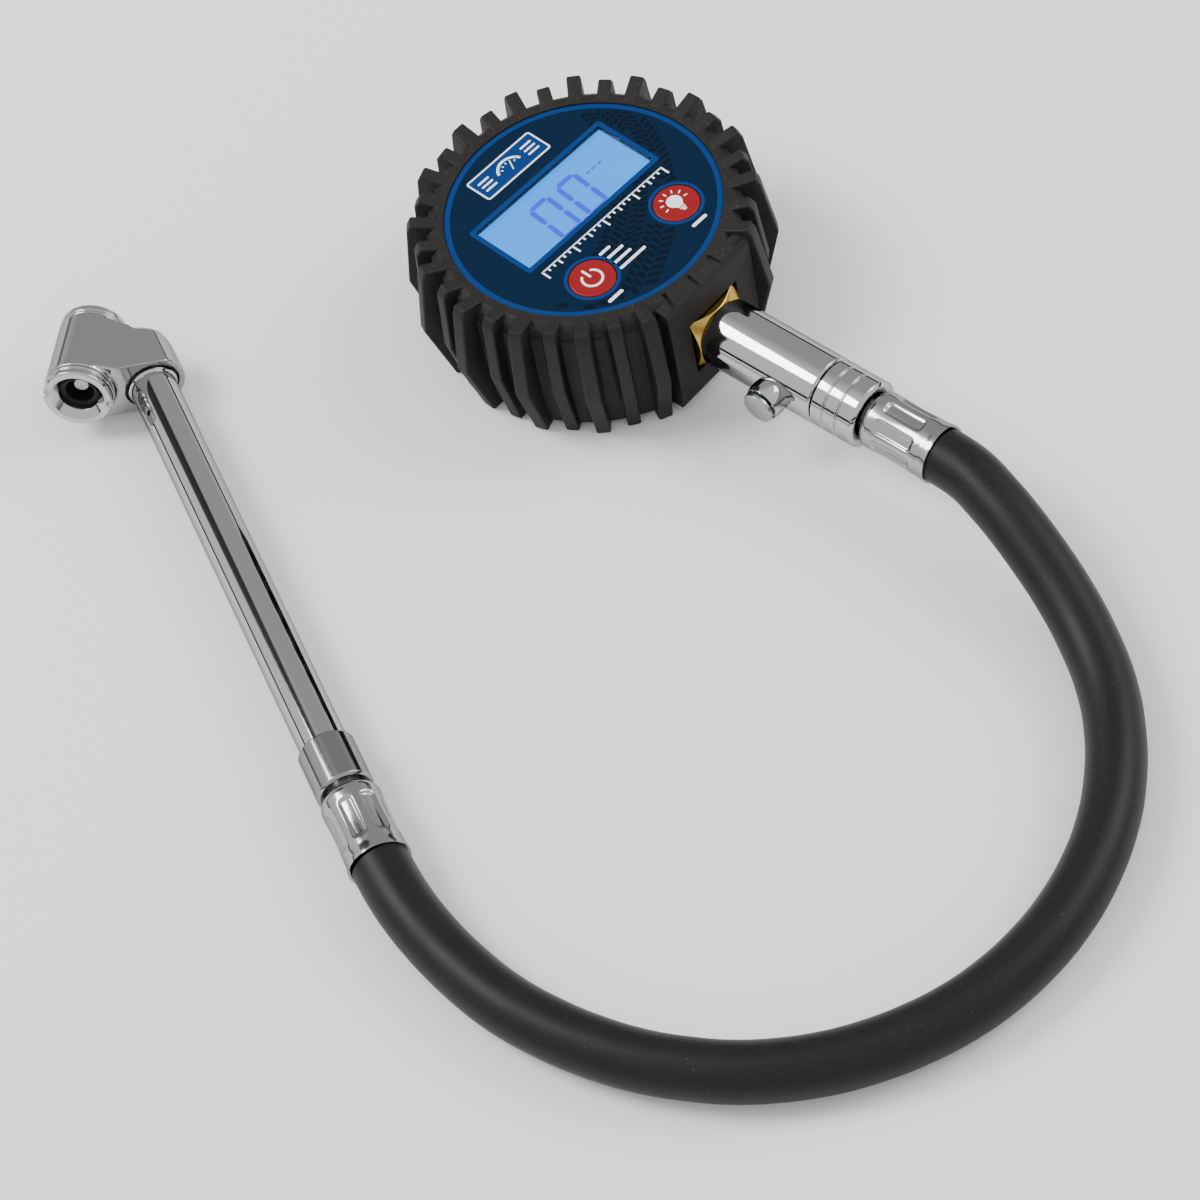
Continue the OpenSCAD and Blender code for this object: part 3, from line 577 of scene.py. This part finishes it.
# Clear cast acrylic: polished, with eased edges.
acrylic = plain("clear_acrylic", "#ffffff", 0.03, 2.0, 0.0005, 0.0,
                [("Transmission Weight", 1.0), ("IOR", 1.49), ("Specular IOR Level", 0.2)])
lens = plate("window_lens_sheet", box_outline(0, window_y, window_w + 1.8, window_h + 1.8, 0.3),
             lens_low, lens_high)
ease(lens, 0.06, 2)
lens.data.transform(dial)
give(lens, acrylic, "lens_acrylic", "window_lens")
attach(lens, "gauge")

# ---------------------------------------------------------------------------
# Push buttons: red moulded discs with a low crown, a flange that holds them
# in the bezel and a white icon printed on top.
# ---------------------------------------------------------------------------
# Moulded red ABS: satin, very slightly uneven in its red.
red_abs, tree, shader, where = new_material(
    "red_abs", [("Roughness", 0.38), ("IOR", 1.53), ("Specular IOR Level", 0.3)])
tone = add(tree, "ShaderNodeTexNoise", [("Scale", 1 / (4 * mm)), ("Detail", 2.0)], [("Vector", where)])
red = add(tree, "ShaderNodeMixRGB", [("Color1", srgb("#7c080d")), ("Color2", srgb("#8e0a10"))],
          [("Fac", tone.outputs["Fac"])])
tree.links.new(red.outputs["Color"], shader.inputs["Base Color"])

icon_low, icon_high = 31.52, 31.63
bulb_r, bulb_y = 1.75, 0.55
for side, name in ((-1, "unit"), (1, "light")):
    body = name + "_button_cap"
    place = Matrix.Translation((side * button_x * mm, button_y * mm, 0))
    cap = turned(name + "_button_disc", [
        (0, 27.6), (1.3, 27.6), (1.3, 28.1), (5.8, 28.1), (5.8, 28.9), (button_r, 28.9), (button_r, 31.45),
        (4.85, 31.6), (4.45, 31.6), (4.2, 31.5), (2.1, 31.56), (0, 31.58)], 96)
    smooth(cap, 50)
    cap.data.transform(dial @ place)
    give(cap, red_abs, "button_plastic", name + "_button")
    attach(cap, body)
    if side < 0:
        outlines = [arc(0, 0, 1.95, 2.45, 122, 418, 40), box_outline(0, 1.75, 0.52, 2.7, 0.2)]
    else:
        glass = [math.radians(a) for a in range(-55, 236, 10)]
        outlines = [[(bulb_r * math.cos(a), bulb_y + bulb_r * math.sin(a)) for a in glass]
                    + [(-0.75, -1.45), (0.75, -1.45)]]
        outlines += [box_outline(0, -1.85 - 0.42 * i, 1.5 - 0.35 * i, 0.24, 0.1) for i in range(3)]
        outlines += [spoke(0, bulb_y, 2.4, 3.25, angle) for angle in range(-12, 193, 34)]
    icon = join([plate("mark", outline, icon_low, icon_high) for outline in outlines], name + "_icon")
    icon.data.transform(place)
    printed(icon, white_print, body, "button_plastic")

# ---------------------------------------------------------------------------
# Stem block: square brass bar, its front face turned to a cone so that only
# the corners keep the flat sides' full length.
# ---------------------------------------------------------------------------


def stem(at):
    """The place of a turned piece whose Z runs along the stem from a distance in mm."""
    return Matrix.Translation((0, -at * mm, stem_z)) @ Matrix.Rotation(math.radians(90), 4, "X")


def metal(name, code, roughness, scratch_mm=0.5, streak=0.06, bump_mm=0.002):
    """Bare or plated metal: polish marks, drawn coarse enough to show, vary its gloss."""
    made, tree, shader, where = new_material(
        name, [("Base Color", srgb(code)), ("Metallic", 1.0), ("Specular Tint", srgb("#b4b4b6"))])
    marks = add(tree, "ShaderNodeTexNoise", [("Scale", 1 / (scratch_mm * mm)), ("Detail", 4.0)],
                [("Vector", where)]).outputs["Fac"]
    texture(tree, shader, marks, max(0.02, roughness - streak), roughness + streak, marks, 0.15, bump_mm)
    return made


# Machined brass: yellow, with tool marks that blur its reflections.
brass = metal("machined_brass", "#bd9c50", 0.24, 0.8, 0.08, 0.01)
bpy.ops.object.select_all(action="DESELECT")
block_w, block_mid = 14, 29
cone_r, cone_len = 6.7, 20
bpy.ops.mesh.primitive_cube_add(size=block_w * mm, location=(0, -block_mid * mm, stem_z))
block = bpy.context.object
block.name = "brass_stem_block"
block.data.transform(Matrix.Translation(block.location))
block.location = (0, 0, 0)
cone_foot = cone_r + cone_len * math.tan(math.radians(50))
cone = turned("cone", [(0, -cone_len), (cone_foot, -cone_len), (cone_r, 0), (0, 0)], 128)
cone.data.transform(stem(block_mid + block_w / 2))
combine(block, cone, "INTERSECT")
ease(block, 0.15, 2, 20)
give(block, brass, "stem_brass", "stem_block")
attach(block, "gauge")

# ---------------------------------------------------------------------------
# Valve body: turned brass, chrome plated, with a boss for the bleed valve on
# its left. The ringed collar screws on its nose and holds the hose's tail.
# ---------------------------------------------------------------------------
valve_r, nose_r, neck_r = 7.5, 6.2, 4.1
body_at, bleed_at, collar_at = 36.2, 55, 64.8
# Bright chrome: a near mirror. Satin chrome: blurred, for the small turned parts.
chrome = metal("bright_chrome", "#b4b4b6", 0.06, 1.5, 0.03)
satin_chrome = metal("satin_chrome", "#a6a7aa", 0.26, 0.6, 0.06)
body = turned("chromed_valve_body", [
    (0, 0), (7, 0), (7.35, 0.15), (valve_r, 0.5), (valve_r, 28), (valve_r - 0.45, 28.4), (nose_r, 28.4),
    (nose_r, 33.6), (neck_r, 33.6), (neck_r, 29.4), (0, 29.4)], 192)
ease(body, 0.15)
body.data.transform(stem(body_at))
bleed = Matrix.Translation((0, -bleed_at * mm, stem_z)) @ Matrix.Rotation(math.radians(-90), 4, "Y")
bore = turned("bleed_bore", [(0, -4.05), (3.05, -4.05), (3.05, 3.9), (1.5, 3.9), (1.5, 9), (0, 9)], 65)
bore.data.transform(bleed)
combine(body, bore, "DIFFERENCE")
give(body, chrome, "body_chrome", "valve_body")
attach(body, "gauge")

ring_r, groove_r = valve_r - 0.05, valve_r - 0.4
grooves = []
for start in (3, 6.4):
    grooves += [(ring_r, start), (groove_r, start + 0.15), (groove_r, start + 0.4), (ring_r, start + 0.55)]
collar = turned("ringed_collar", [
    (nose_r + 0.1, 0), (valve_r - 0.6, 0), (ring_r, 0.4), *grooves, (ring_r, 10.3), (valve_r - 0.7, 11),
    (neck_r + 0.1, 11), (neck_r + 0.1, 7.65), (nose_r + 0.1, 7.65), (nose_r + 0.1, 0)], 192)
ease(collar, 0.12)
collar.data.transform(stem(collar_at))
give(collar, chrome, "body_chrome", "swivel_collar")
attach(collar, "gauge")

boss = turned("bleed_valve_bell", [
    (1.5, 4), (3.7, 4), (3.7, 6.5), (3.95, 6.9), (4.12, 7.5), (4.15, 8.2), (4.13, 9.1), (4.05, 10),
    (3.92, 10.7), (3.7, 10.7), (3.7, 9.1), (1.5, 9.1), (1.5, 4)], 128)
ease(boss, 0.1)
boss.data.transform(bleed)
give(boss, chrome, "body_chrome", "bleed_boss")
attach(boss, "gauge")
button = turned("bleed_button_cap", [
    (0, 2.6), (1.2, 2.6), (1.2, 10.6), (3.3, 10.6), (3.3, 11.1), (3.6, 11.2), (3.6, 12.1), (0, 12.1)], 128)
ease(button, 0.22)
button.data.transform(bleed)
give(button, satin_chrome, "body_chrome", "bleed_button")
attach(button, "bleed_plunger")

# ---------------------------------------------------------------------------
# Ferrules: thin plated sleeves with a round shoulder, crimped on the hose by
# eight long jaws that leave sunk pads.
# ---------------------------------------------------------------------------
ferrule_len = 17
ferrule_at = 76.3


def ferrule(name):
    """A crimped sleeve along Z, its shoulder at 0 and its open end last."""
    outline = [(4.1, 0), (5.2, 0), (5.75, 0.25), (6.1, 0.7), (6.25, 1.3)]
    for i in range(1, 55):
        z = 1.3 + i * 0.25
        outline.append((6.3 - 0.2 * math.sin(math.pi * (z - 1.3) / 13.75) ** 2, z))
    outline += [(6.4, 15.6), (6.5, 16.2), (6.5, 17), (6.02, 17), (6.02, 15), (4.1, 1)]
    piece = turned(name, outline + [outline[0]], 192)
    pads, middle, half_w, half_l, corner_r = 8, 8.2, 1.75, 4.9, 1.1
    for corner in piece.data.vertices:
        x, y, z = corner.co / mm
        r = math.hypot(x, y)
        if r < 6.05 or not 2 < z < 14.5:
            continue
        off = abs((math.degrees(math.atan2(y, x)) + 180 / pads) % (360 / pads) - 180 / pads)
        across = max(math.radians(off) * r - half_w + corner_r, 0)
        along = max(abs(z - middle) - half_l + corner_r, 0)
        inside = min(1, max(0, (corner_r - math.hypot(across, along)) / 0.7))
        sunk = 1 - 0.5 * inside * inside * (3 - 2 * inside) / r
        corner.co.x *= sunk
        corner.co.y *= sunk
    smooth(piece, 40)
    return piece


# Plated sheet, rolled and pressed: bright, but wavy and a little blurred.
sleeve_chrome = metal("rolled_chrome", "#a6a6a8", 0.15, 0.4, 0.07, 0.006)
sleeve = ferrule("gauge_ferrule_sleeve")
sleeve.data.transform(stem(ferrule_at))
give(sleeve, sleeve_chrome, "ferrule_chrome", "gauge_ferrule")
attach(sleeve, "hose_and_chuck")


def tube_line(at, backward=False):
    """The place of a turned piece whose Z runs along the chuck's tube, or back along it."""
    way = -90 if backward else 90
    return (Matrix.Translation(chuck_end) @ Matrix.Rotation(chuck_yaw, 4, "Z")
            @ Matrix.Translation((at * mm, 0, 0)) @ Matrix.Rotation(math.radians(way), 4, "Y"))


sleeve = ferrule("chuck_ferrule_sleeve")
sleeve.data.transform(tube_line(ferrule_len, True) @ turn_z(12))
give(sleeve, sleeve_chrome, "ferrule_chrome", "chuck_ferrule")
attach(sleeve, "hose_and_chuck")
for node in ("gauge_hose_tail", "chuck_hose_tail"):
    paint(node, satin_chrome)

# ---------------------------------------------------------------------------
# Chuck tube and its collar: drawn steel tube, chrome plated, pushed into a
# turned collar at the hose and staked in the head.
# ---------------------------------------------------------------------------
tube_r, collar_at = 5, 18.5
collar = turned("chuck_tube_collar", [
    (0, 0), (5.4, 0), (5.95, 0.5), (5.95, 11.1), (5.6, 11.5), (5.05, 11.5), (5.05, 10.5), (0, 10.5)], 160)
ease(collar, 0.12)
collar.data.transform(tube_line(collar_at))
# Turned chrome, less clear than the tube; its darker colour is painted shade, which stands in for the dark
# bands reflected on the collar.
painted_shade_chrome = metal("painted_shade_chrome", "#929090", 0.13, 0.8, 0.05)
give(collar, painted_shade_chrome, "body_chrome", "chuck_collar")
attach(collar, "hose_and_chuck")
pipe = turned("chuck_tube_pipe", [
    (0, 24), (tube_r, 24), (tube_r, 135.2), (5.5, 135.5), (5.5, 137.1), (tube_r, 137.2), (tube_r, 144),
    (0, 144)], 192)
ease(pipe, 0.1)
pipe.data.transform(tube_line(0))
give(pipe, chrome, "body_chrome", "chuck_tube")
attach(pipe, "hose_and_chuck")

# ---------------------------------------------------------------------------
# Chuck head: a zinc casting, plated. A lobe holds the tube and a flat web
# joins it to the barrel, which lies across at an angle.
# ---------------------------------------------------------------------------
head_place = (Matrix.Translation(chuck_end) @ Matrix.Rotation(chuck_yaw, 4, "Z")
              @ Matrix.Rotation(chuck_roll, 4, "X") @ Matrix.Translation((136 * mm, 0, 0)))
barrel_local = (Matrix.Translation((9.6 * mm, 11.6 * mm, 0)) @ turn_z(-28.2)
                @ Matrix.Rotation(math.radians(-90), 4, "Y"))
lobe_r, web_t, pad_r = 7.4, 7, 9
barrel_r, barrel_half = 7.6, 8.3
root_t = 7.57
head = turned("chuck_head_casting", [
    (0, -web_t), (7.2, -web_t), (8.3, -6.5), (8.85, -5.7), (pad_r, -4.8), (pad_r, 4.8), (8.85, 5.7),
    (8.3, 6.5), (7.2, web_t), (0, web_t)], 120)
head.data.transform(Matrix.Translation((3.4 * mm, (pad_r - lobe_r) * mm, 0)))
front = plate("front", [(0, -lobe_r), (3.6, -lobe_r), (6, 0), (6, 8), (0, 9.2)], -web_t, web_t)
combine(head, front, "UNION")
half_turn = [math.radians(a) for a in range(180, 361, 5)]
rounding = plate("rounding", [(lobe_r * math.cos(a), lobe_r * math.sin(a)) for a in half_turn]
                 + [(lobe_r, 24), (-lobe_r, 24)], 0, 18)
rounding.data.transform(Matrix(((0, 0, 1, 0), (0, 1, 0, 0), (-1, 0, 0, 0), (0, 0, 0, 1))))
combine(head, rounding, "INTERSECT")

# The web thickens to its root, where it runs into the barrel's top and bottom.
web = plate("web", [(0.01, 1), (9.6, 0.2), (12.3, 1.7), (16.5, 7.9), (2.6, 15.3), (0.01, 9.2)],
            -web_t, web_t)
for corner in web.data.vertices:
    if corner.co.y > 7 * mm and corner.co.x > 2 * mm:
        corner.co.z *= root_t / web_t
combine(head, web, "UNION")
barrel = turned("barrel", [(0, -barrel_half), (barrel_r, -barrel_half), (barrel_r, barrel_half),
                           (0, barrel_half)], 160)
barrel.data.transform(barrel_local)
combine(head, barrel, "UNION")
tube_bore = [(0, -1), (6, -1), (6, 1.2), (5.02, 1.2), (5.02, 8), (0, 8)]
barrel_bore = [(0, -9), (6.3, -9), (6.3, -4.1), (5, -4.1), (5, 4.1), (6.3, 4.1), (6.3, 9), (0, 9)]
along_tube = Matrix.Rotation(math.radians(90), 4, "Y")
for place, outline in ((along_tube, tube_bore), (barrel_local, barrel_bore)):
    bore = turned("bore", outline, 131)
    bore.data.transform(place)
    combine(head, bore, "DIFFERENCE")
fine = head.modifiers.new("even_mesh", "REMESH")
fine.mode = "VOXEL"
fine.voxel_size = 0.2 * mm
soften = head.modifiers.new("cast_edges", "SMOOTH")
soften.factor = 0.5
soften.iterations = 9
apply_all(head)
bpy.ops.object.shade_smooth()
head.data.transform(head_place)
# A plated casting: chrome over a faintly rippled skin.
cast_chrome = metal("plated_casting", "#adabab", 0.15, 1.2, 0.05, 0.006)
give(head, cast_chrome, "head_chrome", "chuck_head")
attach(head, "hose_and_chuck")

# ---------------------------------------------------------------------------
# Inserts: turned rings screwed in both ends of the barrel. Each has a coned
# mouth, two spanner slots and a rubber seal behind it; a pin stands inside.
# ---------------------------------------------------------------------------
# Turned chrome: bright, softened by the tool's marks. Nitrile: matt black. Spring wire: dull grey.
insert_chrome = metal("turned_chrome", "#b4b2b3", 0.12, 0.5, 0.05)
seal_rubber = speckled("nitrile_seal", "#121212", "#191919", 0.3, 0.5, "#3a3938", 0.5, 0.01)
spring_wire = metal("spring_wire", "#8c8c90", 0.25)
for name, turn in (("front", 0), ("rear", 180)):
    port = (head_place @ barrel_local @ Matrix.Rotation(math.radians(turn), 4, "X")
            @ Matrix.Translation((0, 0, barrel_half * mm)))
    insert = turned(name + "_insert_ring", [
        (5.3, -4.2), (6.25, -4.2), (6.25, 0), (7.3, 0.05), (7.45, 0.2), (7.45, 0.75), (7.2, 0.85),
        (7.2, 1.05), (7.45, 1.15), (7.45, 2.35), (7.1, 2.7), (5.87, 2.7), (4.3, 1.3), (4.3, 0.1),
        (5.3, 0.1), (5.3, -4.2)], 160)
    ease(insert, 0.1)
    for side in (-1, 1):
        slot_cut = turned("slot", [(0, 1.4), (0.95, 1.4), (0.95, 3.5), (0, 3.5)], 33)
        slot_cut.data.transform(Matrix.Translation((0, side * 7.1 * mm, 0)))
        combine(insert, slot_cut, "DIFFERENCE")
    smooth(insert)
    insert.data.transform(port)
    give(insert, insert_chrome, "head_chrome", name + "_insert")
    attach(insert, "hose_and_chuck")
    paint(name + "_seal", seal_rubber)
    paint(name + "_depressor", zinc_steel)
for node in ("stem_seal", "bleed_seal", "swivel_seal"):
    paint(node, seal_rubber)
for node in ("bleed_spring", "depressor_spring"):
    paint(node, spring_wire)

# ---------------------------------------------------------------------------
# Studio: a pale floor, soft lamps and a bright sky that darkens towards the
# horizon, which gives the chrome its bands.
# ---------------------------------------------------------------------------
bpy.ops.object.select_all(action="DESELECT")
bpy.ops.mesh.primitive_plane_add(size=6, location=(0, 0, -0.0002))
floor = bpy.context.object
floor.name = "studio_floor"
floor.data.materials.append(plain("pale_floor", "#f4f4f4", 0.9, 8, 0.01))


def lamp(name, place, aim, size, power):
    """A soft square lamp that faces a point."""
    bpy.ops.object.light_add(type="AREA", location=place)
    made = bpy.context.object
    made.name = name
    made.data.size = size
    made.data.energy = power
    made.rotation_euler = (Vector(aim) - Vector(place)).to_track_quat("-Z", "Y").to_euler()


loop_middle = (-0.05, -0.05, 0)
lamp("key_lamp", (-0.55, 0.75, 1.15), loop_middle, 0.6, 17)
lamp("fill_lamp", (0.9, -0.6, 0.9), loop_middle, 0.7, 9)
world = bpy.data.worlds.new("studio_sky")
bpy.context.scene.world = world
world.use_nodes = True
sky = world.node_tree
direction = add(sky, "ShaderNodeTexCoord").outputs["Generated"]
height = add(sky, "ShaderNodeSeparateXYZ", [], [("Vector", direction)]).outputs["Z"]
ramp = add(sky, "ShaderNodeValToRGB", [], [("Fac", height)])
ramp.color_ramp.elements[0].color = (0.03, 0.03, 0.03, 1)
ramp.color_ramp.elements[0].position = 0.085
ramp.color_ramp.elements[1].color = (1, 1, 1, 1)
ramp.color_ramp.elements[1].position = 0.15
level = ramp.outputs["Color"]
# Grey cards, all in degrees: where each stands, its half width and its soft edge; last, how dark it is.
for turn, rise, half, edge, dark in ((42, 34, 24, 22, 0.48), (86, 36, 13, 4, 0.93)):
    a, b = math.radians(turn), math.radians(rise)
    toward = (math.cos(a) * math.cos(b), math.sin(a) * math.cos(b), math.sin(b))
    near = add(sky, "ShaderNodeVectorMath", [("operation", "DOT_PRODUCT")], [(0, direction)])
    near.inputs[1].default_value = toward
    card = add(sky, "ShaderNodeMapRange",
               [("From Min", math.cos(math.radians(half + edge))),
                ("From Max", math.cos(math.radians(half))), ("To Min", 1.0), ("To Max", 1 - dark)],
               [("Value", near.outputs["Value"])])
    level = add(sky, "ShaderNodeVectorMath", [("operation", "MULTIPLY")],
                [(0, level), (1, card.outputs["Result"])]).outputs["Vector"]
sky.links.new(level, sky.nodes["Background"].inputs["Color"])
sky.nodes["Background"].inputs["Strength"].default_value = 1.15
